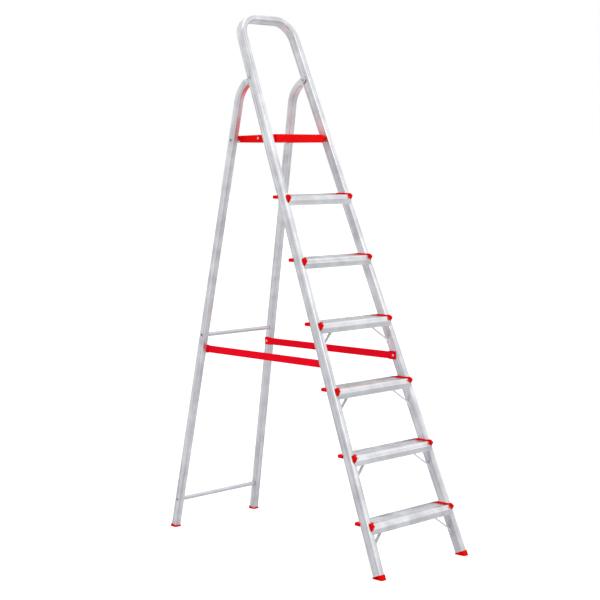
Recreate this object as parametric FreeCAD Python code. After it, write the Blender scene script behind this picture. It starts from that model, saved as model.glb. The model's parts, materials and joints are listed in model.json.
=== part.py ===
import FreeCAD, Part
import math
import os

# Household step ladder: six aluminium treads and a folding platform.
# Z is up, the floor is Z = 0, the climber faces +Y, and X = 0 is the middle.
# Lengths are in millimetres and angles in degrees.

os.makedirs("parts", exist_ok=True)
V = FreeCAD.Vector

# ---- driving dimensions -------------------------------------------------
tread_count = 6
first_rise = 185.0            # floor to the first tread
step_rise = 230.0             # tread to tread, and last tread to platform
front_lean = 22.05            # front frame from vertical
front_half = 245.3            # outer half width of the front frame at the floor
front_taper = 2.53            # each rail's lean towards the middle
handle_reach = 457.0          # platform to the top of the handle loop
rail_w, rail_d = 24.0, 40.0   # rail section across and front to back
rail_ahead = 4.4              # rail's front face ahead of the line that places the treads
rail_wall, rail_round = 1.5, 6.0
loop_radius = 92.0            # outer radius of the two bends of the loop

rear_lean = 10.1              # rear frame from vertical
rear_taper = 2.42
leg_w, leg_d = 26.5, 28.0
leg_wall, leg_round = 1.4, 4.5
leg_offset = 54.5             # leg centreline behind the hinge
leg_inset = 6.0               # leg's outer face inside the rail's
leg_bend_radius = 110.0
leg_bend = 45.0
lug_radius, lug_thick = 13.0, 4.0
hinge_below_loop = 253.0      # loop top down to the hinge, along the rail
hinge_inset = 12.6            # hinge ahead of the rail's rear face
fold_range = 32.0             # the rear frame's swing, from open to folded

bar_radius, bar_bore, spigot_radius = 8.0, 3.6, 4.8
bar_heights = [("low", 113.5), ("middle", 783.5)]
platform_bar_drop = 22.0      # platform top to the centre of the bar it rests on

tread_gauge = 2.4
tread_rear = 55.0             # rear edge behind the placing line
tread_front = 8.5             # front edge of the flat top ahead of it
nose_reach, nose_drop = 19.0, 16.5
skirt_drop = 35.0
skirt_lip = 4.0
heel_drop = 12.0
heel_lip, heel_lip_width = 4.0, 3.0         # raised line along the rear edge
tab_front, tab_length, tab_drop = 6.0, 23.0, 28.0
tab_rivet_drop, tab_rivet_places = 14.0, (12.0, 22.0)
groove_pitch, groove_width, groove_depth = 6.0, 2.4, 0.9

rim_height, rim_width = 6.0, 3.5
nub_front, nub_reach, nub_drop, nub_rise = 30.0, 57.0, 11.0, 2.0
cap_inset, cap_thick = 9.4, 7.0            # cap's outer face inside the rail's, and its thickness
bridge_front = 9.0            # front edge of the web between cap and rim
cap_cover = 2.5               # the cap stands out past the tread's end by this much
cap_profile = [(4.0, 2.0), (-1.5, 2.0), (-8.0, 5.5), (-14.0, 5.0), (-24.5, -2.0), (-24.0, -6.5),
               (-14.5, -22.0), (-11.5, -23.5), (-4.0, -19.5), (4.0, -12.0)]

brace_count = 4               # the lowest treads have braces
brace_reach, brace_drop = 109.0, 88.0
brace_width, brace_gauge = 13.0, 2.0
brace_foot, brace_head = 18.0, 22.0
brace_foot_place, brace_head_place = 20.5, 15.5      # behind the placing line
brace_rivet_share = 0.6       # how far down its foot the brace's rivet sits

foot_grow = 2.0
front_foot_sole, rear_foot_sole = 4.0, 6.5
foot_plug = 28.0
foot_hollow_front, foot_hollow_rear, foot_hollow_wall, foot_hollow_deep = 11.0, 8.0, 2.4, 12.0
front_foot_pin, rear_foot_pin, foot_pin_length = 14.0, 12.0, 6.0
front_pin_share = 0.62        # of the rail's depth, behind its front face

strap_tread, strap_above = 3, 83.0         # straps this far above the third tread
strap_width, strap_thick = 28.0, 2.4
strap_pad, strap_pad_length, strap_end = 32.0, 30.0, 11.0
strap_place, strap_stand = 22.0, 0.9       # behind the placing line, and off the rail's side

pan_side_room = 18.5          # platform's side wall to the rail's inner face
pan_overhang = 6.0            # front skirt ahead of the placing line
pan_depth, pan_fall = 31.0, 5.5
pan_gauge, pan_corner, pan_edge = 1.8, 7.0, 3.5
pan_hem = 5.0                 # inward return along the bottom of the front skirt
pan_tail = 18.0               # rear wall behind the bar's centre
pan_rib_start, pan_rib_pitch, pan_rib_width, pan_rib_inset = 28.0, 21.0, 6.0, 22.0
pan_rib_rise, pan_rib_round, pan_rib_rear = 0.9, 0.7, 20.0
pivot_drop = 15.0             # platform top down to its pivot
pin_radius, pin_head, pin_rise, spacer_radius = 4.0, 7.0, 2.5, 9.0
bracket_height, bracket_gauge, bracket_length = 18.0, 2.0, 103.0
bracket_front, bracket_end = 10.0, 8.0     # front end ahead of the pin, rear end behind the rivet

rivet_radius, rivet_head, rivet_rise = 2.4, 4.6, 1.6
rivet_stand = 0.2             # head off a surface that isn't quite square to it
bulb_radius, bulb_length, bulb_stand = 3.24, 2.2, 0.4
brace_rivet_radius = 2.0
hinge_radius, hinge_head, hinge_rise = 3.0, 6.5, 2.4
hinge_bore, hinge_bore_deep = 1.5, 9.0     # the hinge rivets are open at their inner end
washer_radius, washer_thick, hinge_room = 9.0, 0.5, 1.5

fit = 0.05                    # radial clearance of pins and rivets
gap = 0.3                     # between plastic and metal
moving_gap = 0.5              # between bodies that move past each other

# ---- derived places -----------------------------------------------------
lean_s, lean_c = math.sin(math.radians(front_lean)), math.cos(math.radians(front_lean))
rear_s, rear_c = math.sin(math.radians(rear_lean)), math.cos(math.radians(rear_lean))
side_s, side_c = math.sin(math.radians(front_taper)), math.cos(math.radians(front_taper))
flare_s, flare_c = math.sin(math.radians(rear_taper)), math.cos(math.radians(rear_taper))
rail_slope = side_s / side_c / lean_c      # rail's X shift per unit of height
platform_top = first_rise + tread_count * step_rise
loop_top = (platform_top + handle_reach) / lean_c
hinge_s = loop_top - hinge_below_loop
hinge_depth = rail_d - rail_ahead - hinge_inset
strap_height = first_rise + (strap_tread - 1) * step_rise + strap_above

# the Y of the front face at the floor puts the feet's box centre at Y = 0
hinge_y0 = hinge_s * lean_s + hinge_depth * lean_c
hinge_z = hinge_s * lean_c - hinge_depth * lean_s
leg_axis_y0 = hinge_y0 + leg_offset * rear_c + (hinge_z + leg_offset * rear_s) * rear_s / rear_c
foot_front = -(foot_grow + rail_ahead) / lean_c
foot_rear = leg_axis_y0 + (leg_d / 2 + foot_grow) / rear_c
front_y = -(foot_front + foot_rear) / 2
hinge_y = front_y + hinge_y0


def rail_front(z):
    return front_y + z * lean_s / lean_c


def rail_outer(z):
    return front_half - z * rail_slope


def rail_inner(z):
    return rail_outer(z) - rail_w / side_c


def rail_face(y, z):
    """X of the rail's inner face, which leans in both ways, at a point beside it."""
    s = (y - front_y) * lean_s + z * lean_c
    return front_half - rail_w / side_c - s * side_s / side_c


def front_point(x, s, n):
    """Point of the front frame: s up the slope, n behind the placing line."""
    return V(x, front_y + s * lean_s + n * lean_c, s * lean_c - n * lean_s)


def unit(v):
    return v * (1.0 / v.Length)


# ---- shape helpers ------------------------------------------------------
def rounded_section(centre, u, v, width, depth, radius):
    """Closed wire of a rectangle with round corners, in the plane of u and v."""
    hu, hv = width / 2, depth / 2
    k = radius * (1 - math.sqrt(0.5))

    def at(a, b):
        return centre + u * a + v * b
    edges = []
    for su, sv in ((1, 1), (-1, 1), (-1, -1), (1, -1)):
        flat = at(su * hu, sv * (hv - radius))
        top = at(su * (hu - radius), sv * hv)
        middle = at(su * (hu - k), sv * (hv - k))
        ends = (flat, top) if su * sv > 0 else (top, flat)
        edges.append(Part.Arc(ends[0], middle, ends[1]).toShape())
    joined = []
    for i, edge in enumerate(edges):
        following = edges[(i + 1) % 4]
        joined += [edge, Part.makeLine(edge.Vertexes[-1].Point, following.Vertexes[0].Point)]
    return Part.Wire(joined)


def bent_path(points, radius):
    """Straight runs joined by tangent arcs of one radius."""
    edges, start = [], points[0]
    for before, corner, after in zip(points, points[1:], points[2:]):
        a, b = unit(before - corner), unit(after - corner)
        half = a.getAngle(b) / 2
        cut = radius / math.tan(half)
        centre = corner + unit(a + b) * (radius / math.sin(half))
        middle = centre + unit(corner - centre) * radius
        edges.append(Part.makeLine(start, corner + a * cut))
        edges.append(Part.Arc(corner + a * cut, middle, corner + b * cut).toShape())
        start = corner + b * cut
    edges.append(Part.makeLine(start, points[-1]))
    return Part.Wire(edges)


def sweep(path, section):
    return path.makePipeShell([section], True, False)


def prism(points, direction):
    return Part.Face(Part.makePolygon(points + points[:1])).extrude(direction)


def box(x0, x1, y0, y1, z0, z1):
    return Part.makeBox(x1 - x0, y1 - y0, z1 - z0, V(x0, y0, z0))


def offset_line(points, distance):
    """Mitred copy of an open outline of (a, b) pairs, moved to its left."""
    normals = []
    for (a0, b0), (a1, b1) in zip(points, points[1:]):
        length = math.hypot(a1 - a0, b1 - b0)
        normals.append(((b0 - b1) / length, (a1 - a0) / length))
    joined = [normals[0]] + normals + [normals[-1]]
    moved = []
    for (a, b), n, m in zip(points, joined, joined[1:]):
        k = distance / (1 + n[0] * m[0] + n[1] * m[1])
        moved.append((a + k * (n[0] + m[0]), b + k * (n[1] + m[1])))
    return moved


def joined(shapes):
    whole = shapes[0].fuse(shapes[1:]) if len(shapes) > 1 else shapes[0]
    return whole.removeSplitter()


def group(shapes):
    return Part.makeCompound(shapes)


def mirrored(shape):
    return shape.mirror(V(0, 0, 0), V(1, 0, 0))


def save(name, shape):
    shape.exportStep("parts/" + name + ".step")


def save_pair(name, right):
    save(name % "right", right)
    save(name % "left", mirrored(right))


def domed(base, axis, radius, rise):
    """Low round head whose flat side is at base and which bulges along axis."""
    head = Part.makeCylinder(radius, rise, base, axis)
    rim = [e for e in head.Edges if (e.CenterOfMass - base).dot(axis) > rise * 0.5
           and len(e.Vertexes) == 1]
    return head.makeFillet(rise * 0.8, rim)


def blind_rivet(surface, inward, grip):
    """Head on the surface, shank through the grip, set bulb behind it."""
    head = domed(surface, inward * -1, rivet_head, rivet_rise)
    shank = Part.makeCylinder(rivet_radius, grip + 1.0, surface, inward)
    bulb = Part.makeCylinder(bulb_radius, bulb_length, surface + inward * (grip + bulb_stand), inward)
    return joined([head, shank, bulb])


def drive_pin(surface, inward, length):
    """Headed pin driven into a moulding."""
    shank = Part.makeCylinder(rivet_radius, length, surface, inward)
    return joined([domed(surface, inward * -1, rivet_head, rivet_rise), shank])


def rivet_hole(surface, inward, depth, radius=rivet_radius):
    return Part.makeCylinder(radius + fit, depth + 1.0, surface - inward, inward)


# ---- front frame --------------------------------------------------------
rail_middle = rail_d / 2 - rail_ahead
rail_end = (front_foot_sole + (rail_d - rail_ahead) * lean_s) / lean_c
side_dir = front_point(-side_s, side_c, 0) - front_point(0, 0, 0)
side_out = front_point(side_c, side_s, 0) - front_point(0, 0, 0)
back_dir = front_point(0, 0, 1) - front_point(0, 0, 0)


def rail_centre_x(s):
    return front_half - rail_w / 2 / side_c - s * side_s / side_c


def loop_path():
    top = loop_top - rail_w / 2
    corners = [(rail_centre_x(rail_end), rail_end), (rail_centre_x(top), top),
               (-rail_centre_x(top), top), (-rail_centre_x(rail_end), rail_end)]
    return bent_path([front_point(x, s, rail_middle) for x, s in corners], loop_radius - rail_w / 2)


def rail_section(grow, radius):
    centre = front_point(rail_centre_x(rail_end), rail_end, rail_middle)
    return rounded_section(centre, side_out, back_dir, rail_w + 2 * grow, rail_d + 2 * grow, radius)


def rail_room(clearance):
    """Both straight rails, grown by a clearance, to cut their neighbours."""
    section = Part.Face(rail_section(clearance, rail_round))
    section.translate(side_dir * -(rail_end + 30))
    right = section.extrude(side_dir * (loop_top + 30))
    return right, mirrored(right)


hinge_point = V(0, hinge_y, hinge_z)
hinge_outer = V(rail_outer(hinge_z), hinge_y, hinge_z)
lug_outer = rail_face(hinge_y, hinge_z) - hinge_room
lug_inner = lug_outer - lug_thick
platform_bar_z = platform_top - platform_bar_drop
pivot_z = platform_top - pivot_drop
pivot_y = rail_front(pivot_z) + rail_middle / lean_c


def tread_height(i):
    return first_rise + i * step_rise


def tab_rivet_points(i):
    z = tread_height(i) - tab_rivet_drop
    places = [rail_front(tread_height(i)) + along for along in tab_rivet_places]
    return [V(rail_face(y, z), y, z) for y in places]


def brace_rivet_point(i):
    z = tread_height(i) - brace_drop - brace_foot * brace_rivet_share
    y = rail_front(z) + brace_foot_place + brace_width / 2
    return V(rail_face(y, z), y, z)


def strap_front_point():
    y = rail_front(strap_height) + strap_place
    return V(rail_face(y, strap_height), y, strap_height)


inward_normal = side_out * -1


def rail_hole(point, radius=rivet_radius):
    """Hole through the inner wall only; the inner face leans with the rail."""
    return Part.makeCylinder(radius + fit, rail_wall + 3.0, point + inward_normal * 1.5,
                             inward_normal * -1)


def front_frame():
    path = loop_path()
    tube = sweep(path, rail_section(0, rail_round))
    bore = sweep(path, rail_section(-rail_wall, rail_round - rail_wall))
    tube = tube.cut(bore)
    holes = []
    for i in range(tread_count):
        holes += [rail_hole(p) for p in tab_rivet_points(i)]
    holes += [rail_hole(brace_rivet_point(i)) for i in range(brace_count)]
    holes.append(rail_hole(strap_front_point()))
    holes.append(rail_hole(V(rail_face(pivot_y, pivot_z), pivot_y, pivot_z), pin_radius))
    holes += [rivet_hole(p, n, rail_wall + 1.0) for p, n in front_foot_rivet_points()]
    holes.append(Part.makeCylinder(hinge_radius + fit, 40, hinge_outer + V(5, 0, 0), V(-1, 0, 0)))
    holes += [mirrored(h) for h in holes]
    return tube.cut(group(holes))


def front_foot_rivet_points():
    s = rail_end + front_foot_pin
    centre = front_point(rail_centre_x(s), s, rail_d * front_pin_share - rail_ahead)
    return [(centre + side_out * (rail_w / 2), side_out * -1),
            (centre - side_out * (rail_w / 2), side_out)]


def foot(end, up, out, back, width, depth, radius, wall, rivets):
    """Moulded foot: plug in the tube, wedge from the tube's end down to the floor."""
    grown = rounded_section(end, out, back, width + 2 * foot_grow, depth + 2 * foot_grow, radius)
    wedge = Part.Face(grown).extrude(up * -90.0)
    wedge = wedge.common(box(-900, 900, -2000, 2000, 0, 900))
    slack = 2 * (wall + gap / 2)
    plug = rounded_section(end - up * 0.5, out, back, width - slack, depth - slack, radius - wall)
    whole = joined([wedge, Part.Face(plug).extrude(up * (foot_plug + 0.5))])
    return whole.cut(group([rivet_hole(p, n, foot_pin_length) for p, n in rivets]))


def front_foot():
    end = front_point(rail_centre_x(rail_end), rail_end, rail_middle)
    whole = foot(end, side_dir, side_out, back_dir, rail_w, rail_d, rail_round, rail_wall,
                 front_foot_rivet_points())
    rear = end + back_dir * foot_hollow_rear - side_dir * foot_hollow_wall
    front = end - back_dir * foot_hollow_front - side_dir * foot_hollow_wall
    mouth = side_out * (rail_w / 2 + foot_grow + 1.0)
    low = [V(front.x, front.y, foot_hollow_wall), V(rear.x, rear.y, foot_hollow_wall)]
    hollow = prism([p + mouth for p in [rear, front] + low], side_out * -(foot_hollow_deep + 1.0))
    return whole.cut(hollow)


# ---- treads and their saddles -------------------------------------------
def tread_outline():
    outer = [(tread_rear, -heel_drop), (tread_rear, 0), (-tread_front, 0),
             (-nose_reach, -nose_drop), (-nose_reach, -skirt_drop),
             (-nose_reach + skirt_lip, -skirt_drop)]
    return outer + offset_line(outer, tread_gauge)[::-1]


def tread(i):
    z = tread_height(i)
    y = rail_front(z)
    half = rail_outer(z) - cap_inset - cap_cover
    body = prism([V(-half, y + a, z + b) for a, b in tread_outline()], V(2 * half, 0, 0))
    lip = box(-half, half, y + tread_rear - heel_lip_width, y + tread_rear, z - 1.0, z + heel_lip)
    body = body.fuse(lip).removeSplitter()
    cap_room = rail_outer(z) - cap_inset - cap_thick - gap
    end_room = rail_inner(z) - rim_width - gap
    cuts = [box(cap_room, half + 1, y - nose_reach - 1, y + 1, z - nose_drop - 3, z + 1),
            box(rail_inner(z) - gap, half + 1, y, y + tread_rear + 1, z - heel_drop - 1, z + heel_lip + 1),
            box(end_room, half + 1, y + nub_front - gap, y + tread_rear + 1, z - heel_drop - 1, z + heel_lip + 1)]
    cuts += [mirrored(c) for c in cuts]
    a = -tread_front + groove_pitch
    while a < tread_rear - groove_pitch * 0.6:
        cuts.append(box(-half, half, y + a, y + a + groove_width, z - groove_depth, z + 1))
        a += groove_pitch
    body = body.cut(group(cuts))
    deep = y + tab_front + tab_length
    top_x, low_x = rail_face(deep, z) - gap, rail_face(deep, z - tab_drop) - gap
    tab = [V(top_x, y + tab_front, z - 0.6), V(top_x - tread_gauge, y + tab_front, z - 0.6),
           V(low_x - tread_gauge, y + tab_front, z - tab_drop), V(low_x, y + tab_front, z - tab_drop)]
    tab = prism(tab, V(0, tab_length, 0))
    whole = joined([body, tab, mirrored(tab)]).cut(group(list(rail_room(gap))))
    holes = [rivet_hole(p + inward_normal * 6, inward_normal * -1, 8.0) for p in tab_rivet_points(i)]
    return whole.cut(group(holes + [mirrored(h) for h in holes]))


def saddle(i):
    """Red moulding at a tread's end: rim beside the rail, nose cap, heel nub behind the rail."""
    z = tread_height(i)
    y = rail_front(z)
    outer = rail_outer(z) + 0.4
    inner = rail_inner(z)
    cap_outer = rail_outer(z) - cap_inset
    cap = prism([V(cap_outer - cap_thick, y + a, z + b) for a, b in cap_profile], V(cap_thick, 0, 0))
    bridge = box(inner - rim_width, cap_outer - 1, y - bridge_front, y + 4, z + 0.1, z + nub_rise)
    rim = box(inner - rim_width, inner + 4, y - bridge_front, y + nub_reach - 4, z + 0.1, z + rim_height)
    nub = box(inner - rim_width, outer, y + nub_front, y + nub_reach, z - nub_drop, z + nub_rise)
    ends = [e for e in nub.Edges if abs(e.CenterOfMass.y - y - nub_reach) < 0.1
            and abs(e.CenterOfMass.x - (outer + inner - rim_width) / 2) < 0.1]
    nub = nub.makeFillet(4.0, ends)
    whole = joined([cap, bridge, rim, nub])
    under = box(inner - rim_width - 1, inner, y - 60, y + nub_reach + 9, z - 60, z + 0.1)
    slope = [(tread_rear - 14, rim_height + 0.1), (nub_reach + 1, rim_height + 0.1), (nub_reach + 1, nub_rise)]
    slope = prism([V(inner - rim_width - 1, y + a, z + b) for a, b in slope], V(40, 0, 0))
    return whole.cut(group([under, slope, rail_room(gap)[0]]))


def brace(i):
    """Flat strip: head under the tread, diagonal, foot along the rail."""
    z = tread_height(i)
    y = rail_front(z)
    head_z = -tread_gauge - 0.1
    deep = rail_front(z - brace_drop) + brace_foot_place + brace_width
    foot_x = rail_face(deep, z - brace_drop) - gap
    end_x = rail_face(deep, z - brace_drop - brace_foot) - gap
    start_x = rail_inner(z) - brace_reach
    line = [(start_x - brace_head, head_z), (start_x, head_z), (foot_x, -brace_drop),
            (end_x, -brace_drop - brace_foot)]
    under = offset_line(line, -brace_gauge)
    fronts = [y + brace_head_place] * 2
    fronts += [rail_front(z - drop) + brace_foot_place for drop in (brace_drop, brace_drop + brace_foot)]
    stations = []
    for (xa, za), (xb, zb), front in zip(line, under, fronts):
        ring = [V(xa, front, z + za), V(xb, front, z + zb), V(xb, front + brace_width, z + zb),
                V(xa, front + brace_width, z + za)]
        stations.append(Part.makePolygon(ring + ring[:1]))
    strip = joined([Part.makeLoft(list(pair), True, True) for pair in zip(stations, stations[1:])])
    low = rivet_hole(brace_rivet_point(i) + inward_normal * 4, inward_normal * -1, 6.0)
    top = rivet_hole(brace_head_point(i), V(0, 0, 1), 6.0, brace_rivet_radius)
    return strip.cut(group([low, top]))


def brace_head_point(i):
    z = tread_height(i)
    return V(rail_inner(z) - brace_reach - brace_head / 2, rail_front(z) + brace_head_place + brace_width / 2,
             z - tread_gauge - 0.1 - brace_gauge)


def brace_head_rivet(i):
    point = brace_head_point(i)
    head = domed(point, V(0, 0, -1), rivet_head, rivet_rise)
    return joined([head, Part.makeCylinder(brace_rivet_radius, brace_gauge + 0.1, point, V(0, 0, 1))])


# ---- rear frame ---------------------------------------------------------
leg_up = V(-flare_s, -rear_s * flare_c, rear_c * flare_c)
leg_out = V(flare_c, -rear_s * flare_s, rear_c * flare_s)
leg_back = V(0, rear_c, rear_s)
leg_top_x = rail_outer(hinge_z) - leg_inset - leg_w / 2 / flare_c
leg_origin = V(leg_top_x, hinge_y, hinge_z) + leg_back * leg_offset
bend_s, bend_c = math.sin(math.radians(leg_bend)), math.cos(math.radians(leg_bend))
leg_tip = (leg_offset - leg_bend_radius * (1 - bend_c)) / bend_s
leg_end_dir = leg_up * bend_c - leg_back * bend_s


def leg_distance(z):
    """Distance down the leg from the hinge's level to a height z."""
    return (leg_origin.z - z) / leg_up.z


def leg_centre(z):
    return leg_origin - leg_up * leg_distance(z)


leg_foot = leg_centre(rear_foot_sole + leg_d / 2 * rear_s)


def leg_inner_point(z):
    return leg_centre(z) - leg_out * (leg_w / 2)


def rear_leg():
    corner = leg_origin - leg_back * leg_offset - leg_end_dir * leg_tip
    run = leg_bend_radius * math.tan(math.radians(leg_bend / 2))
    knee = corner - leg_end_dir * run
    path = bent_path([leg_foot, knee, corner + leg_end_dir * 0.5], leg_bend_radius)
    outer = sweep(path, rounded_section(leg_foot, leg_out, leg_back, leg_w, leg_d, leg_round))
    bore_w, bore_d = leg_w - 2 * leg_wall, leg_d - 2 * leg_wall
    bore = sweep(path, rounded_section(leg_foot, leg_out, leg_back, bore_w, bore_d, leg_round - leg_wall))
    tube = outer.cut(bore)
    across = leg_out.cross(leg_end_dir)
    flat_dir = unit(V(0, leg_end_dir.y, leg_end_dir.z))
    flat_across = V(1, 0, 0).cross(flat_dir)
    lug_centre = V((lug_outer + lug_inner) / 2, hinge_y, hinge_z)
    throat = rounded_section(corner, leg_out, across, leg_w, leg_d, leg_round)
    pressed = rounded_section(lug_centre - flat_dir * lug_radius, V(1, 0, 0), flat_across,
                              lug_thick, 2 * lug_radius, lug_thick * 0.3)
    taper = Part.makeLoft([throat, pressed], True, True)
    tip = lug_centre - flat_dir * (lug_radius + 0.5)
    shift = V(lug_thick / 2, 0, 0)
    plate = [tip - shift - flat_across * lug_radius, tip - shift + flat_across * lug_radius,
             lug_centre - shift + flat_across * lug_radius, lug_centre - shift - flat_across * lug_radius]
    lug = prism(plate, V(lug_thick, 0, 0))
    disc = Part.makeCylinder(lug_radius, lug_thick, lug_centre - shift, V(1, 0, 0))
    whole = joined([tube, taper, lug, disc])
    for share in (0.5, 0.75, 1.0):
        rail = rail_room(moving_gap)[0]
        rail.rotate(hinge_point, V(1, 0, 0), fold_range * share)
        whole = whole.cut(rail)
    holes = [Part.makeCylinder(hinge_radius + fit, 30, lug_centre - V(15, 0, 0), V(1, 0, 0))]
    for _, z in all_bars():
        holes.append(Part.makeCylinder(spigot_radius + fit, leg_w + 20, bar_centre(z) + V(bar_inner(z) - 6, 0, 0),
                                       V(1, 0, 0)))
    inner = leg_inner_point(strap_height)
    holes.append(rivet_hole(inner - leg_out * 2, leg_out, leg_wall + 3.0))
    holes += [rivet_hole(p, n, leg_wall + 1.0) for p, n in rear_foot_rivet_points()]
    return whole.cut(group(holes))


def all_bars():
    return bar_heights + [("top", platform_bar_z)]


def bar_centre(z):
    centre = leg_centre(z)
    return V(0, centre.y, z)


def bar_inner(z):
    """X of the leg's inner face at the top of a bar, where it is nearest."""
    return leg_inner_point(z + bar_radius).x


def crossbar(z):
    """Tube between the legs; its rolled-over ends pass through both walls."""
    centre = bar_centre(z)
    half = bar_inner(z) - 0.4
    face = (leg_centre(z) + leg_out * (leg_w / 2)).x
    end = face + spigot_radius * flare_s + 0.9
    body = Part.makeCylinder(bar_radius, 2 * half, centre - V(half, 0, 0), V(1, 0, 0))
    body = body.makeChamfer(1.2, [e for e in body.Edges if abs(abs(e.CenterOfMass.x) - half) < 0.01])
    spigot = Part.makeCylinder(spigot_radius, 2 * end, centre - V(end, 0, 0), V(1, 0, 0))
    rim = Part.makeCylinder(spigot_radius + 1.6, 1.0, V(end - 0.6, centre.y, z), V(1, 0, 0))
    bore = Part.makeCylinder(bar_bore, 2 * end + 10, centre - V(end + 5, 0, 0), V(1, 0, 0))
    return joined([body, spigot, rim, mirrored(rim)]).cut(bore)


def rear_foot_rivet_points():
    centre = leg_foot + leg_up * rear_foot_pin
    return [(centre + leg_out * (leg_w / 2), leg_out * -1)]


def rear_foot():
    return foot(leg_foot, leg_up, leg_out, leg_back, leg_w, leg_d, leg_round, leg_wall,
                rear_foot_rivet_points())


# ---- hinge, straps and platform -----------------------------------------
def hinge_rivet():
    outer = hinge_outer + V(hinge_radius * rail_slope + 0.2, 0, 0)
    inner = V(lug_inner - moving_gap, hinge_y, hinge_z)
    shank = Part.makeCylinder(hinge_radius, outer.x - inner.x, inner, V(1, 0, 0))
    whole = joined([shank, domed(outer, V(1, 0, 0), hinge_head, hinge_rise),
                    domed(inner, V(-1, 0, 0), hinge_head, hinge_rise)])
    return whole.cut(Part.makeCylinder(hinge_bore, hinge_bore_deep, inner - V(hinge_rise + 1, 0, 0), V(1, 0, 0)))


def hinge_washer():
    start = V(lug_outer + (rail_face(hinge_y, hinge_z) - lug_outer - washer_thick) / 2, hinge_y, hinge_z)
    ring = Part.makeCylinder(washer_radius, washer_thick, start, V(1, 0, 0))
    return ring.cut(Part.makeCylinder(hinge_radius + fit, 4, start - V(1, 0, 0), V(1, 0, 0)))


def strap():
    """Flat webbing strap between the inner faces of a rail and a leg."""
    fore = strap_front_point() + inward_normal * (strap_thick / 2 + strap_stand)
    aft = leg_inner_point(strap_height) - leg_out * (strap_thick / 2 + strap_stand)
    along = unit(aft - fore)
    tall = unit(V(-rail_slope, 0, 1))
    tall = unit(tall - along * tall.dot(along))
    face = along.cross(tall)
    length = (aft - fore).Length

    def slab(a, b, height, thick):
        ring = [fore + along * p + tall * q - face * (thick / 2)
                for p, q in ((a, -height / 2), (b, -height / 2), (b, height / 2), (a, height / 2))]
        return prism(ring, face * thick)
    tail = length + strap_end
    pads = [slab(-strap_end, strap_pad_length - strap_end, strap_pad, strap_thick),
            slab(tail - strap_pad_length, tail, strap_pad, strap_thick)]
    whole = joined([slab(-strap_end, tail, strap_width, strap_thick)] + pads)
    holes = [Part.makeCylinder(rivet_radius + fit, 12, p - face * 6, face) for p in (fore, aft)]
    return whole.cut(group(holes))


def strap_rivets():
    stand = strap_stand + strap_thick + 0.2
    front = strap_front_point() + inward_normal * stand
    rear = leg_inner_point(strap_height) - leg_out * stand
    grip = stand + rail_wall
    return blind_rivet(front, inward_normal * -1, grip), blind_rivet(rear, leg_out, grip)


pan_half = rail_face(pivot_y, pivot_z) - pan_side_room
pan_front = rail_front(platform_top) - pan_overhang
pan_rear = bar_centre(platform_bar_z).y + pan_tail


def pan():
    """Sheet pan, open below, with notched sides that rest on the top bar."""
    def block(inset, top, bottom):
        fall = pan_fall * (1 - inset / (pan_rear - pan_front))
        rise = pan_fall * inset / (pan_rear - pan_front)
        side = [V(-pan_half + inset, pan_front + inset, platform_top - top - rise),
                V(-pan_half + inset, pan_rear - inset, platform_top - top - fall),
                V(-pan_half + inset, pan_rear - inset, platform_top - bottom),
                V(-pan_half + inset, pan_front + inset, platform_top - bottom)]
        solid = prism(side, V(2 * (pan_half - inset), 0, 0))
        corners = [e for e in solid.Edges if abs(e.tangentAt(e.FirstParameter).z) > 0.9]
        solid = solid.makeFillet(pan_corner - inset, corners)
        low = platform_top - top - pan_fall - 1
        brim = [e for e in solid.Edges if e.BoundBox.ZMin > low and abs(e.tangentAt(e.FirstParameter).z) < 0.5]
        return solid.makeFillet(pan_edge - inset, brim) if pan_edge > inset else solid
    shell = block(0, 0, pan_depth).cut(block(pan_gauge, pan_gauge, pan_depth + 5))
    hem_face = block(0, 0, pan_depth).cut(block(pan_hem, -5, pan_depth + 5))
    floor = platform_top - pan_depth
    hem = hem_face.common(box(-pan_half, pan_half, pan_front, pan_front + 30, floor, floor + pan_gauge))
    ribs = []
    y = pan_front + pan_rib_start
    while y < pan_rear - pan_rib_rear:
        z = platform_top - (y - pan_front) * pan_fall / (pan_rear - pan_front)
        rib = box(-pan_half + pan_rib_inset, pan_half - pan_rib_inset, y, y + pan_rib_width,
                  z - 1.0, z + pan_rib_rise)
        rim = [e for e in rib.Edges if e.CenterOfMass.z > z + pan_rib_rise * 0.9]
        ribs.append(rib.makeFillet(pan_rib_round, rim))
        y += pan_rib_pitch
    whole = joined([shell, hem] + ribs)
    bar = bar_centre(platform_bar_z)
    seat = bar_radius + moving_gap
    mouth = seat + (bar.z - floor + 2) * 0.75
    notch = prism([V(-pan_half - 1, bar.y - seat, bar.z), V(-pan_half - 1, bar.y - mouth, floor - 2),
                   V(-pan_half - 1, bar.y + seat, floor - 2), V(-pan_half - 1, bar.y + seat, bar.z)],
                  V(2 * pan_half + 2, 0, 0))
    saddle_cut = Part.makeCylinder(seat, 2 * pan_half + 2, V(-pan_half - 1, bar.y, bar.z), V(1, 0, 0))
    cuts = [notch, saddle_cut, Part.makeCylinder(pin_radius + fit, 2 * pan_half + 2,
                                                 V(-pan_half - 1, pivot_y, pivot_z), V(1, 0, 0))]
    for side in (1, -1):
        cuts.append(rivet_hole(V(side * pan_half, bracket_rivet_y, pivot_z), V(-side, 0, 0), 8.0))
    return whole.cut(group(cuts))


bracket_rivet_y = pivot_y - bracket_front + bracket_length - bracket_end
bracket_x = pan_half - pan_gauge - 0.1


def bracket():
    front = pivot_y - bracket_front
    plate = box(bracket_x - bracket_gauge, bracket_x, front, front + bracket_length,
                pivot_z - bracket_height / 2, pivot_z + bracket_height / 2)
    ends = [e for e in plate.Edges if abs(e.tangentAt(e.FirstParameter).x) > 0.9]
    plate = plate.makeFillet(bracket_height * 0.45, ends)
    holes = [Part.makeCylinder(pin_radius + fit, 20, V(bracket_x - 10, pivot_y, pivot_z), V(1, 0, 0)),
             Part.makeCylinder(rivet_radius + fit, 20, V(bracket_x - 10, bracket_rivet_y, pivot_z), V(1, 0, 0))]
    return plate.cut(group(holes))


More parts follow.
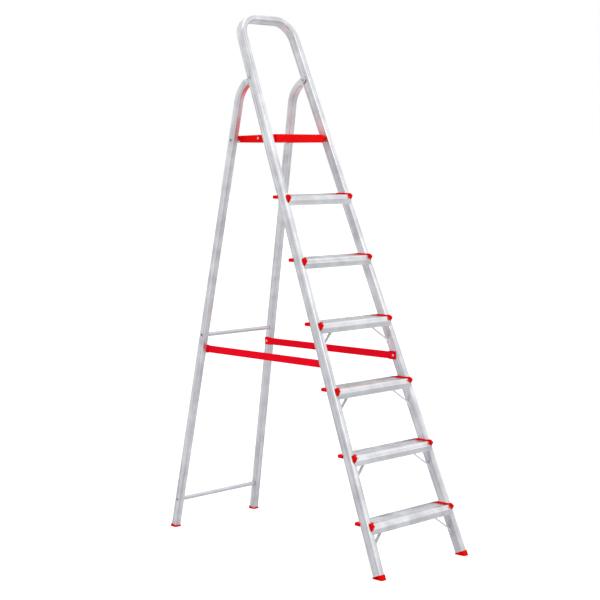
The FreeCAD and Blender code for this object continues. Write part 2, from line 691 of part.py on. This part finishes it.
def bracket_rivet():
    return blind_rivet(V(pan_half, bracket_rivet_y, pivot_z), V(-1, 0, 0), pan_gauge + 0.1 + bracket_gauge)


def platform_pin():
    """Shouldered pin set in the rail's inner wall; the platform turns on it."""
    inner = bracket_x - bracket_gauge - moving_gap
    outer = rail_face(pivot_y, pivot_z) + rail_wall + 3.0
    shank = Part.makeCylinder(pin_radius, outer - inner, V(inner, pivot_y, pivot_z), V(1, 0, 0))
    head = domed(V(inner, pivot_y, pivot_z), V(-1, 0, 0), pin_head, pin_rise)
    return joined([shank, head])


def platform_spacer():
    inner = pan_half + moving_gap
    outer = rail_face(pivot_y + spacer_radius, pivot_z + spacer_radius) - gap
    ring = Part.makeCylinder(spacer_radius, outer - inner, V(inner, pivot_y, pivot_z), V(1, 0, 0))
    return ring.cut(Part.makeCylinder(pin_radius + fit, 60, V(inner - 20, pivot_y, pivot_z), V(1, 0, 0)))


# ---- build --------------------------------------------------------------
def both(shapes):
    return group(shapes + [mirrored(s) for s in shapes])


def build():
    save("front_frame", front_frame())
    save_pair("front_foot_%s", front_foot())
    for i in range(tread_count):
        save("tread_%d" % (i + 1), tread(i))
        save_pair("saddle_%%s_%d" % (i + 1), saddle(i))
    for i in range(brace_count):
        save_pair("brace_%%s_%d" % (i + 1), brace(i))
    tab_grip = 2 * gap + tread_gauge + rivet_stand
    tabs = [p + inward_normal * tab_grip for i in range(tread_count) for p in tab_rivet_points(i)]
    save("tread_rivets", both([blind_rivet(p, inward_normal * -1, tab_grip + rail_wall) for p in tabs]))
    brace_grip = 2 * gap + brace_gauge
    lows = [brace_rivet_point(i) + inward_normal * brace_grip for i in range(brace_count)]
    lows = [blind_rivet(p, inward_normal * -1, brace_grip + rail_wall) for p in lows]
    save("brace_rivets", both(lows + [brace_head_rivet(i) for i in range(brace_count)]))
    save("front_foot_rivets", both([drive_pin(p, n, foot_pin_length) for p, n in front_foot_rivet_points()]))
    save_pair("hinge_rivet_%s", hinge_rivet())
    save("hinge_washers", both([hinge_washer()]))
    save_pair("platform_pin_%s", platform_pin())
    save("platform_spacers", both([platform_spacer()]))

    save_pair("rear_leg_%s", rear_leg())
    for name, z in all_bars():
        save("crossbar_" + name, crossbar(z))
    save_pair("rear_foot_%s", rear_foot())
    save("rear_foot_rivets", both([drive_pin(p, n, foot_pin_length) for p, n in rear_foot_rivet_points()]))

    front_rivet, rear_rivet = strap_rivets()
    save_pair("strap_%s", strap())
    save("strap_front_rivets", both([front_rivet]))
    save("strap_rear_rivets", both([rear_rivet]))

    save("platform", pan())
    save_pair("platform_bracket_%s", bracket())
    save("platform_rivets", both([bracket_rivet()]))


build()
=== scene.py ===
import json
import math

import bmesh
import bpy
import numpy as np
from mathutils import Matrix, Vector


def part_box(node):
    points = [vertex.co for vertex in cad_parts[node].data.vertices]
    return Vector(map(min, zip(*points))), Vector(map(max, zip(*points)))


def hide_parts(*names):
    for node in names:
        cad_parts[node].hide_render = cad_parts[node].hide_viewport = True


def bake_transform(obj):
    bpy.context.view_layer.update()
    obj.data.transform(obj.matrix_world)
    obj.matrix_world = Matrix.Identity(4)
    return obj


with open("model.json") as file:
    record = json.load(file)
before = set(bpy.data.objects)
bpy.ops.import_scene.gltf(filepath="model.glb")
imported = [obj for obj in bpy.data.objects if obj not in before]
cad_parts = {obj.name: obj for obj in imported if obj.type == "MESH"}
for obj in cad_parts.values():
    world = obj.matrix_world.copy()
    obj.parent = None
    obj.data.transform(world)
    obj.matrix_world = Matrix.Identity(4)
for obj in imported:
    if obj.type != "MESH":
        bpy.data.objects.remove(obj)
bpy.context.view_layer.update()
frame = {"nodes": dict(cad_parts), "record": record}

nodes = frame["nodes"]
joints = {j["name"]: j for j in frame["record"]["behaviour"]["joints"]}
hinge = np.array(joints["fold"]["pos_m"])
mm = 0.001

# camera, floor and light

camera = {
    "place": (-4.1962, -4.0040, 1.4885),       # metres, at a standing person's eye
    "turn": (84.551, 0.0, -45.853),            # degrees
    "lens": 91.57,
}

studio = {
    "floorReach": 40.0,
    "floorColor": "#D2D2D4",
    "floorGlow": 0.62,                         # a lit table: it shows white, and faint shadows stay on it
    "backColor": "#FFFFFF",                    # what is seen behind the object
    "roomColor": "#ECEDF0",                    # the cool room that the metal mirrors
    "roomLow": 0.92, "roomHigh": 1.16,         # its strength at the horizon, and above
    "roomRise": 0.28,                          # sine of the height where it is brightest
    "softboxes": {                             # place, aim, width, height, power
        "frontRight": ((3.4, -3.4, 3.2), (0, 0, 0.9), 3.2, 3.6, 5),
        "frontLeft": ((-3.3, -3.6, 3.6), (0, 0, 1.0), 1.4, 2.6, 27),
        "overhead": ((0.3, 0.2, 5.0), (0, 0, 0), 3.5, 3.5, 30),
    },
}


def linear(hexColor):
    # sRGB hex to linear RGBA.
    parts = [int(hexColor[i:i + 2], 16) / 255 for i in (1, 3, 5)]
    return tuple(c / 12.92 if c <= 0.04045 else ((c + 0.055) / 1.055) ** 2.4 for c in parts) + (1.0,)


def addNode(mat, kind, values=None, links=None, **settings):
    # Adds one node: settings are its properties, values its sockets, links what feeds them.
    node = mat.node_tree.nodes.new(kind)
    for key, value in settings.items():
        setattr(node, key, value)
    for key, value in (values or {}).items():
        node.inputs[key].default_value = value
    for key, source in (links or {}).items():
        mat.node_tree.links.new(source, node.inputs[key])
    return node


def aimedAt(place, target):
    gap = np.subtract(target, place)
    flat = math.hypot(gap[0], gap[1])
    return (math.atan2(flat, -gap[2]), 0.0, math.atan2(-gap[0], gap[1]))


def makeStudio():
    scene = bpy.context.scene
    scene.view_settings.view_transform = "Standard"
    data = bpy.data.cameras.new("camera")
    data.lens, data.sensor_width, data.clip_end = camera["lens"], 36.0, 100.0
    eye = bpy.data.objects.new("camera", data)
    eye.location = camera["place"]
    eye.rotation_euler = [math.radians(a) for a in camera["turn"]]
    scene.collection.objects.link(eye)
    scene.camera = eye

    world = bpy.data.worlds.new("room")
    world.use_nodes = True
    world.node_tree.nodes.clear()
    ray = addNode(world, "ShaderNodeLightPath")
    seen = addNode(world, "ShaderNodeBackground", {"Color": linear(studio["backColor"]), "Strength": 1.0})
    way = addNode(world, "ShaderNodeTexCoord")
    height = addNode(world, "ShaderNodeSeparateXYZ", links={0: way.outputs["Generated"]})
    strength = addNode(world, "ShaderNodeMapRange", {
        "From Max": studio["roomRise"], "To Min": studio["roomLow"], "To Max": studio["roomHigh"]},
        {"Value": height.outputs["Z"]})
    room = addNode(world, "ShaderNodeBackground", {"Color": linear(studio["roomColor"])},
                   {"Strength": strength.outputs[0]})
    mix = addNode(world, "ShaderNodeMixShader",
                  links={0: ray.outputs["Is Camera Ray"], 1: room.outputs[0], 2: seen.outputs[0]})
    addNode(world, "ShaderNodeOutputWorld", links={"Surface": mix.outputs[0]})
    scene.world = world

    reach = studio["floorReach"]
    mesh = bpy.data.meshes.new("floor")
    mesh.from_pydata([(-reach, -reach, 0), (reach, -reach, 0), (reach, reach, 0), (-reach, reach, 0)],
                     [], [(0, 1, 2, 3)])
    floor = bpy.data.objects.new("floor", mesh)
    scene.collection.objects.link(floor)
    paint = bpy.data.materials.new("paleFloor")
    paint.use_nodes = True
    paint.node_tree.nodes.clear()
    matt = addNode(paint, "ShaderNodeBsdfDiffuse", {"Color": linear(studio["floorColor"])})
    seenFloor = addNode(paint, "ShaderNodeLightPath")
    glow = addNode(paint, "ShaderNodeMath", {1: studio["floorGlow"]},
                   {0: seenFloor.outputs["Is Camera Ray"]}, operation="MULTIPLY")
    lamp = addNode(paint, "ShaderNodeEmission", {"Color": linear(studio["backColor"])},
                   {"Strength": glow.outputs[0]})
    both = addNode(paint, "ShaderNodeAddShader", links={0: matt.outputs[0], 1: lamp.outputs[0]})
    addNode(paint, "ShaderNodeOutputMaterial", links={"Surface": both.outputs[0]})
    mesh.materials.append(paint)

    for name, (place, target, width, height, power) in studio["softboxes"].items():
        light = bpy.data.lights.new(name, "AREA")
        light.shape, light.size, light.size_y, light.energy = "RECTANGLE", width, height, power
        box = bpy.data.objects.new(name, light)
        box.location, box.rotation_euler = place, aimedAt(place, target)
        box.visible_camera = False
        scene.collection.objects.link(box)


makeStudio()
print("studio ready")

# materials

aluminium = {
    "light": "#F5F5F5", "dark": "#C8C8CB",     # bare aluminium, a little uneven from the mill
    "roughness": 0.33, "roughnessSpread": 0.12,
    "lineWidth": 2.6 * mm,                     # die lines are 0.1 to 0.5 mm; drawn coarser so that they show
    "lineLength": 700 * mm,
    "cloudSize": 60 * mm, "cloudShare": 0.35,  # faint handling marks
    "rampLow": 0.40, "rampHigh": 0.60,         # noise levels at which the two colours are reached
    "bump": 0.10, "bumpHeight": 0.2 * mm,
}
noiseLow, noiseHigh = 0.3, 0.7                 # nearly all of a noise node's values lie between these

leg = {"lean": 10.1, "taper": 0.0423, "offset": 54.5 * mm, "bendRadius": 110 * mm, "bendStart": -100.1 * mm}
rail = {"lean": 22.05, "taper": 0.0476, "bendRadius": 92 * mm}


def math2(mat, operation, a, b=None):
    # One Math node; a and b are sockets or numbers.
    node = addNode(mat, "ShaderNodeMath", operation=operation)
    for socket, value in zip(node.inputs, (a, b)):
        if isinstance(value, (int, float)):
            socket.default_value = value
        elif value is not None:
            mat.node_tree.links.new(value, socket)
    return node.outputs[0]


def newMaterial(name):
    mat = bpy.data.materials.new(name)
    mat.use_nodes = True
    return mat, mat.node_tree.nodes["Principled BSDF"]


def splitPlace(mat):
    place = addNode(mat, "ShaderNodeTexCoord")
    split = addNode(mat, "ShaderNodeSeparateXYZ", links={0: place.outputs["Object"]})
    return place.outputs["Object"], split.outputs[0], split.outputs[1], split.outputs[2]


def turned(mat, y, z, degrees, y0=0.0, z0=0.0):
    # y and z about a point, turned by an angle: (across the lean, along the lean).
    c, s = math.cos(math.radians(degrees)), math.sin(math.radians(degrees))
    dy, dz = math2(mat, "SUBTRACT", y, y0), math2(mat, "SUBTRACT", z, z0)
    across = math2(mat, "SUBTRACT", math2(mat, "MULTIPLY", dy, c), math2(mat, "MULTIPLY", dz, s))
    along = math2(mat, "ADD", math2(mat, "MULTIPLY", dy, s), math2(mat, "MULTIPLY", dz, c))
    return across, along


def roundCorner(mat, a, b):
    # Distance from a corner's centre, which follows the straight sides and then the bend.
    a, b = math2(mat, "MAXIMUM", a, 0.0), math2(mat, "MAXIMUM", b, 0.0)
    total = math2(mat, "ADD", math2(mat, "MULTIPLY", a, a), math2(mat, "MULTIPLY", b, b))
    return math2(mat, "SQRT", total)


def setRamp(ramp, low, high, spec):
    ends = ramp.color_ramp.elements
    ends[0].position, ends[1].position = low, high
    ends[0].color, ends[1].color = linear(spec["dark"]), linear(spec["light"])


def joinSkin(mat, shader, ramp, rough, bump):
    for key, source in (("Base Color", ramp), ("Roughness", rough), ("Normal", bump)):
        mat.node_tree.links.new(source.outputs[0], shader.inputs[key])


def metalFinish(mat, shader, across, deep, along, spec):
    # Die lines: noise that is fine across the profile and very long along it.
    wide, far = 1 / spec["lineWidth"], 1 / spec["lineLength"]
    lines = addNode(mat, "ShaderNodeCombineXYZ", links={
        0: math2(mat, "MULTIPLY", across, wide), 1: math2(mat, "MULTIPLY", deep, wide),
        2: math2(mat, "MULTIPLY", along, far)})
    noise = addNode(mat, "ShaderNodeTexNoise", {"Scale": 1.0, "Detail": 3.0, "Roughness": 0.6},
                    {"Vector": lines.outputs[0]})
    place = addNode(mat, "ShaderNodeTexCoord")
    cloud = addNode(mat, "ShaderNodeTexNoise", {"Scale": 1 / spec["cloudSize"], "Detail": 4.0},
                    {"Vector": place.outputs["Object"]})
    both = addNode(mat, "ShaderNodeMix", {0: spec["cloudShare"]},
                   {2: noise.outputs["Fac"], 3: cloud.outputs["Fac"]})
    ramp = addNode(mat, "ShaderNodeValToRGB", links={0: both.outputs[0]})
    setRamp(ramp, spec["rampLow"], spec["rampHigh"], spec)
    rough = addNode(mat, "ShaderNodeMapRange", {
        "From Min": noiseLow, "From Max": noiseHigh,
        "To Min": spec["roughness"] + spec["roughnessSpread"] / 2,
        "To Max": spec["roughness"] - spec["roughnessSpread"] / 2}, {"Value": both.outputs[0]})
    bump = addNode(mat, "ShaderNodeBump", {"Strength": spec["bump"], "Distance": spec["bumpHeight"]},
                   {"Height": noise.outputs["Fac"]})
    shader.inputs["Metallic"].default_value = 1.0
    joinSkin(mat, shader, ramp, rough, bump)


def tubeAluminium():
    # Extruded aluminium tube, left bare: satin, with die lines that follow the bends of the loop.
    mat, shader = newMaterial("extrudedAluminiumTube")
    _, x, y, z = splitPlace(mat)
    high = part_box("front_frame")[1]
    deep, along = turned(mat, y, z, rail["lean"])
    side = math2(mat, "ADD", math2(mat, "ABSOLUTE", x), math2(mat, "MULTIPLY", z, rail["taper"]))
    top = high[1] * math.sin(math.radians(rail["lean"])) + high[2] * math.cos(math.radians(rail["lean"]))
    fromSide = math2(mat, "SUBTRACT", side, high[0] - rail["bendRadius"])
    fromTop = math2(mat, "SUBTRACT", along, top - rail["bendRadius"])
    metalFinish(mat, shader, roundCorner(mat, fromSide, fromTop), deep, along, aluminium)
    return mat


def legAluminium():
    # The same tube, smaller: its die lines follow the bend near the hinge.
    mat, shader = newMaterial("extrudedAluminiumLeg")
    _, x, y, z = splitPlace(mat)
    back, up = turned(mat, y, z, -leg["lean"], hinge[1], hinge[2])
    side = math2(mat, "ADD", math2(mat, "ABSOLUTE", x), math2(mat, "MULTIPLY", z, leg["taper"]))
    fromCentre = math2(mat, "ADD", back, leg["bendRadius"] - leg["offset"])
    above = math2(mat, "SUBTRACT", up, leg["bendStart"])
    metalFinish(mat, shader, roundCorner(mat, fromCentre, above), side, up, dict(aluminium, roughness=0.46))
    return mat


def treadAluminium():
    # Extruded tread: die lines run its whole length; the grooves themselves are cut in its shape.
    mat, shader = newMaterial("extrudedAluminiumTread")
    _, x, y, z = splitPlace(mat)
    metalFinish(mat, shader, y, z, x, dict(aluminium, light="#F2F2F2", dark="#C9C9CC", lineWidth=1.8 * mm))
    return mat


def stripAluminium():
    # Rolled flat strip, sheared and bent: duller than the extrusions.
    mat, shader = newMaterial("rolledAluminiumStrip")
    _, x, y, z = splitPlace(mat)
    metalFinish(mat, shader, y, z, x, dict(aluminium, light="#FAFAFB", dark="#ECEDEF", roughness=0.5,
                                           lineWidth=0.9 * mm, lineLength=120 * mm))
    return mat


def barAluminium():
    # drawn round tube: a little duller than the rails
    mat, shader = newMaterial("drawnAluminiumBar")
    _, x, y, z = splitPlace(mat)
    metalFinish(mat, shader, y, z, x, dict(aluminium, light="#E2E2E4", dark="#CECED1", roughness=0.4))
    return mat


def fineMetal(name, spec):
    # Small pressed parts: fine even grain, no direction.
    mat, shader = newMaterial(name)
    place, _, _, _ = splitPlace(mat)
    grain = addNode(mat, "ShaderNodeTexNoise", {"Scale": 1 / spec["grain"], "Detail": 3.0}, {"Vector": place})
    ramp = addNode(mat, "ShaderNodeValToRGB", links={0: grain.outputs["Fac"]})
    setRamp(ramp, 0.0, 1.0, spec)
    rough = addNode(mat, "ShaderNodeMapRange", {
        "To Min": spec["roughness"] - spec["roughnessSpread"] / 2,
        "To Max": spec["roughness"] + spec["roughnessSpread"] / 2}, {"Value": grain.outputs["Fac"]})
    bump = addNode(mat, "ShaderNodeBump", {"Strength": spec["bump"], "Distance": skinHeight},
                   {"Height": grain.outputs["Fac"]})
    shader.inputs["Metallic"].default_value = 1.0
    joinSkin(mat, shader, ramp, rough, bump)
    return mat


skinHeight = 0.1 * mm                          # depth of the fine grain of moulded and pressed pieces

rivets = {
    "light": "#E6E7E9", "dark": "#C9CACE",
    "roughness": 0.3, "roughnessSpread": 0.16, "grain": 0.8 * mm, "bump": 0.08,
}
zincPlate = {
    "light": "#D5D8DC", "dark": "#AEB3BA",
    "roughness": 0.28, "roughnessSpread": 0.16, "grain": 1.2 * mm, "bump": 0.08,
}

plasticIndex, plasticSpread = 1.49, 0.10       # refractive index, and spread of the roughness
cloudLow, cloudHigh = 0.35, 0.65               # noise levels at which the two colours are reached

redPlastic = {
    "light": "#F40206", "dark": "#E40003",
    "roughness": 0.36, "grain": 0.35 * mm, "bump": 0.12, "gloss": 0.05, "cloudSize": 25 * mm,
}
redStrap = {
    "light": "#FB0122", "dark": "#F0011C",
    "roughness": 0.46, "grain": 0.5 * mm, "bump": 0.2, "gloss": 0.04, "cloudSize": 40 * mm,
}
redCoat = {
    "light": "#FB0204", "dark": "#F20103",
    "roughness": 0.30, "grain": 1.4 * mm, "bump": 0.10, "gloss": 0.05, "cloudSize": 80 * mm,
}
palePlastic = {
    "light": "#E9E7DF", "dark": "#D9D6CC",
    "roughness": 0.45, "grain": 0.4 * mm, "bump": 0.1, "gloss": 0.2, "cloudSize": 10 * mm,
}


def colouredFinish(name, spec):
    # A coloured skin: fine grain in the surface, slow drift in the colour and gloss.
    mat, shader = newMaterial(name)
    place, _, _, _ = splitPlace(mat)
    grain = addNode(mat, "ShaderNodeTexNoise", {"Scale": 1 / spec["grain"], "Detail": 2.0}, {"Vector": place})
    cloud = addNode(mat, "ShaderNodeTexNoise", {"Scale": 1 / spec["cloudSize"], "Detail": 4.0},
                    {"Vector": place})
    ramp = addNode(mat, "ShaderNodeValToRGB", links={0: cloud.outputs["Fac"]})
    setRamp(ramp, cloudLow, cloudHigh, spec)
    rough = addNode(mat, "ShaderNodeMapRange", {
        "From Min": noiseLow, "From Max": noiseHigh,
        "To Min": spec["roughness"] - plasticSpread / 2,
        "To Max": spec["roughness"] + plasticSpread / 2}, {"Value": cloud.outputs["Fac"]})
    bump = addNode(mat, "ShaderNodeBump", {"Strength": spec["bump"], "Distance": skinHeight},
                   {"Height": grain.outputs["Fac"]})
    shader.inputs["IOR"].default_value = plasticIndex
    shader.inputs["Specular IOR Level"].default_value = spec["gloss"]
    joinSkin(mat, shader, ramp, rough, bump)
    return mat


finishes = {
    "tube": tubeAluminium(),
    "leg": legAluminium(),
    "tread": treadAluminium(),
    "strip": stripAluminium(),
    "bar": barAluminium(),
    "rivet": fineMetal("pressedAluminiumRivet", rivets),
    "zinc": fineMetal("zincPlatedSteel", zincPlate),
    "moulding": colouredFinish("mouldedPolypropylene", redPlastic),
    "strap": colouredFinish("extrudedPolypropyleneStrap", redStrap),
    "coat": colouredFinish("powderCoatedSheet", redCoat),
    "nylon": colouredFinish("naturalNylon", palePlastic),
}

finishByPrefix = [           # the first prefix that fits a node's name decides
    ("front_frame", "tube"), ("rear_leg", "leg"), ("crossbar", "bar"), ("tread_rivets", "rivet"),
    ("tread_", "tread"), ("brace_rivets", "rivet"), ("brace_", "strip"), ("front_foot_rivets", "rivet"),
    ("rear_foot_rivets", "rivet"), ("strap_front_rivets", "rivet"), ("strap_rear_rivets", "rivet"),
    ("platform_rivets", "rivet"), ("hinge_rivet", "zinc"), ("platform_pin", "zinc"),
    ("platform_bracket", "zinc"), ("hinge_washers", "nylon"), ("platform_spacers", "moulding"),
    ("saddle", "moulding"), ("front_foot", "moulding"), ("rear_foot", "moulding"),
    ("strap", "strap"), ("platform", "coat"),
]

for name, node in nodes.items():
    finish = next(f for prefix, f in finishByPrefix if name.startswith(prefix))
    node.data.materials.clear()
    node.data.materials.append(finishes[finish])
print("materials ready")

# softened edges on the moulded, pressed and cut pieces

flatAngle, edgeAngle = 1.0, 28.0     # degrees: less is one flat face, more is an edge to round
weldReach = 0.001 * mm
edgeRounds = [                       # name prefix, radius in metres, steps
    ("saddle", 0.9 * mm, 2), ("front_foot_l", 1.0 * mm, 2), ("front_foot_r", 1.0 * mm, 2),
    ("rear_foot_l", 0.8 * mm, 2), ("rear_foot_r", 0.8 * mm, 2), ("brace_l", 0.4 * mm, 1),
    ("brace_r", 0.4 * mm, 1), ("tread_", 0.35 * mm, 1), ("platform_bracket", 0.3 * mm, 1),
]


def roundEdges(node, radius, steps):
    # Joins the triangles of a CAD mesh into flat faces and rounds the edges between them.
    weld = node.modifiers.new("weld", "WELD")
    weld.merge_threshold = weldReach
    flat = node.modifiers.new("flat", "DECIMATE")
    flat.decimate_type, flat.angle_limit = "DISSOLVE", math.radians(flatAngle)
    bevel = node.modifiers.new("round", "BEVEL")
    bevel.width, bevel.segments = radius, steps
    bevel.limit_method, bevel.angle_limit = "ANGLE", math.radians(edgeAngle)
    bevel.use_clamp_overlap = True
    bevel.harden_normals = False


for name, node in nodes.items():
    if name == "tread_rivets":
        continue
    for prefix, radius, steps in edgeRounds:
        if name.startswith(prefix):
            roundEdges(node, radius, steps)
            break
print("edges softened")

# straps

strap = {
    "width": 28 * mm, "thick": 2.4 * mm, "padWidth": 32 * mm, "padThick": 3.0 * mm,
    "padLength": 30 * mm, "padBlend": 8 * mm, "cornerRadius": 4 * mm,
    "ribs": 3, "ribHeight": 0.35 * mm, "padRibs": 0.2,      # ribs fade to this share on the pads
    "stations": 160, "endStations": 14, "around": 72,
    "edgeSquareness": 0.45, "faceSquareness": 0.30,         # powers of cosine and sine: 1 is an ellipse
    "endBlunt": 6,                                          # power of the fall of thickness at the ends
    "thinnest": 0.2 * mm,                                   # below this there are no ribs
}
weldDistance = 0.01 * mm


def closedTube(name, rings, finish):
    # A mesh from rings of points, shape (rings, around, 3); its first and last rings are closed flat.
    count, around, _ = rings.shape
    index = np.arange(count * around).reshape(count, around)
    quads = np.stack([index[:-1], np.roll(index[:-1], -1, 1), np.roll(index[1:], -1, 1), index[1:]], -1)
    mesh = bpy.data.meshes.new(name)
    mesh.from_pydata(rings.reshape(-1, 3).tolist(), [], quads.reshape(-1, 4).tolist())
    work = bmesh.new()
    work.from_mesh(mesh)
    bmesh.ops.remove_doubles(work, verts=work.verts, dist=weldDistance)
    bmesh.ops.holes_fill(work, edges=work.edges, sides=0)
    bmesh.ops.recalc_face_normals(work, faces=work.faces)
    work.to_mesh(mesh)
    work.free()
    mesh.materials.append(finish)
    mesh.shade_smooth()
    piece = bpy.data.objects.new(name, mesh)
    bpy.context.scene.collection.objects.link(piece)
    return piece


def smooth(t):
    t = np.clip(t, 0, 1)
    return t * t * (3 - 2 * t)


def makeStrap(side):
    # A flat section carried along a line: taller pads at both ends, ribs along the faces.
    # The half height grows smoothly from the band's to the pad's, and falls at the very end as a
    # quarter circle. The half thickness carries a cosine across the height, one wave to a rib.
    node = "strap_left" if side < 0 else "strap_right"
    low, high = (np.array(c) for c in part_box(node))
    outer, inner = max(abs(low[0]), abs(high[0])), min(abs(low[0]), abs(high[0]))
    tilt = rail["taper"] * strap["padWidth"] / 2
    middle = (low[2] + high[2]) / 2
    start = np.array([side * (outer - strap["thick"] / 2 - tilt), low[1], middle])
    end = np.array([side * (inner + strap["thick"] / 2 + tilt), high[1], middle])
    length = np.linalg.norm(end - start)
    along = (end - start) / length
    tall = np.array([-side * rail["taper"], 0, 1.0])
    tall -= along * (tall @ along)
    tall /= np.linalg.norm(tall)
    face = np.cross(along, tall)

    ends = np.linspace(0, 1, strap["endStations"]) ** 2 * strap["cornerRadius"]
    body = np.linspace(strap["cornerRadius"], length - strap["cornerRadius"], strap["stations"])[1:-1]
    u = np.concatenate([ends, body, length - ends[::-1]])
    fromEnd = np.minimum(u, length - u)
    pad = 1 - smooth((fromEnd - strap["padLength"]) / strap["padBlend"])
    corner = np.clip(1 - fromEnd / strap["cornerRadius"], 0, 1)
    roundOff = strap["cornerRadius"] * (1 - np.sqrt(1 - corner ** 2))
    halfTall = strap["width"] / 2 + (strap["padWidth"] - strap["width"]) / 2 * pad - roundOff
    halfThick = strap["thick"] / 2 + (strap["padThick"] - strap["thick"]) / 2 * pad
    halfThick = halfThick * np.sqrt(np.clip(1 - corner ** strap["endBlunt"], 0, 1))

    turn = np.linspace(0, 2 * np.pi, strap["around"], endpoint=False)
    c, s = np.cos(turn), np.sin(turn)
    tallPart = np.sign(c) * np.abs(c) ** strap["edgeSquareness"]
    thickPart = np.sign(s) * np.abs(s) ** strap["faceSquareness"]
    wave = 0.5 - 0.5 * np.cos(np.pi * (strap["ribs"] * 2) * (tallPart + 1) / 2)
    fade = 1 - (1 - strap["padRibs"]) * pad[:, None]
    rib = strap["ribHeight"] * wave[None, :] * np.abs(thickPart)[None, :] * fade
    thick = (halfThick[:, None] + rib * (halfThick[:, None] > strap["thinnest"])) * thickPart[None, :]
    points = (start[None, None, :] + along * u[:, None, None]
              + tall * (halfTall[:, None] * tallPart)[..., None]
              + face * thick[..., None])
    piece = closedTube("strapBand_" + ("left" if side < 0 else "right"), points, finishes["strap"])
    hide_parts(node)
    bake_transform(piece)


for side in (-1, 1):
    makeStrap(side)
print("straps ready")
